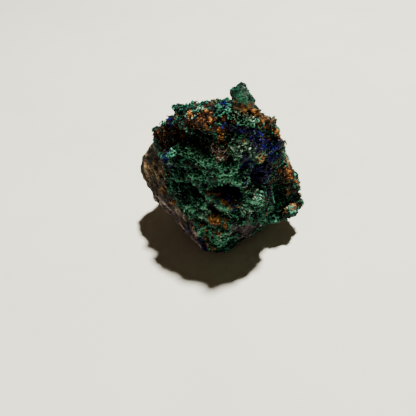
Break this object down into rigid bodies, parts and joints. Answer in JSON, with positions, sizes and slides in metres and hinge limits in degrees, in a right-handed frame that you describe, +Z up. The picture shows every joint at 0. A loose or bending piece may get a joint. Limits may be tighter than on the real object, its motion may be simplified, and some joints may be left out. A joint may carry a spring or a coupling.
{
  "type": "malachite specimen",
  "caption": "Rough lump of ironstone with a cavernous front crusted in green malachite, blue azurite and brown limonite, standing on a flat base.",
  "frame": {"origin": "middle of the specimen's bounding box, at the flat base it stands on", "axes": "+Z up, -Y towards the crusted face, +X to the right of someone looking at that face"},
  "size_m": [0.0402, 0.0334, 0.0492],
  "materials": {
    "malachite_rock": "dull, rough malachite crust over brown ironstone, with limonite and azurite specks",
    "azurite": "glossy deep blue crystal crust"
  },
  "bodies": {
    "root": {"rock": "malachite_rock", "azurite_crust": "azurite"}
  },
  "joints": []
}
